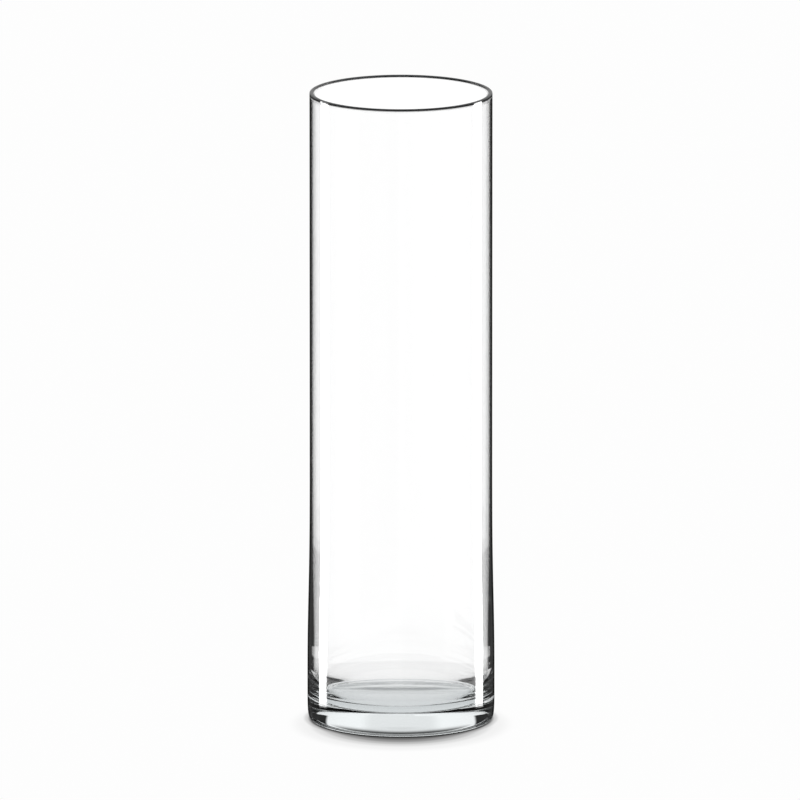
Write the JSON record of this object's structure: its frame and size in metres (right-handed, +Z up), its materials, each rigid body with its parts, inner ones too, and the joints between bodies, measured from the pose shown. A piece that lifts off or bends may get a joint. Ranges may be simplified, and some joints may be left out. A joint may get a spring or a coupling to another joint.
{
  "type": "glass cylinder vase",
  "caption": "Tall straight clear-glass cylinder vase with a fire-polished rim and a heavy base, open at the top to hold water and long stems.",
  "frame": {"origin": "middle of the underside, on the surface that the vase stands on", "axes": "+Z up along the vase's axis, from the base to the open rim; +X and +Y are any two square directions, because the vase is round"},
  "size_m": [0.2046, 0.2046, 0.698],
  "materials": {
    "clear_glass": "clear soda-lime glass, smooth and fire-polished, near colourless with a faint grey-green cast in the thick base"
  },
  "bodies": {
    "root": {"vase_body": "clear_glass"}
  },
  "joints": []
}
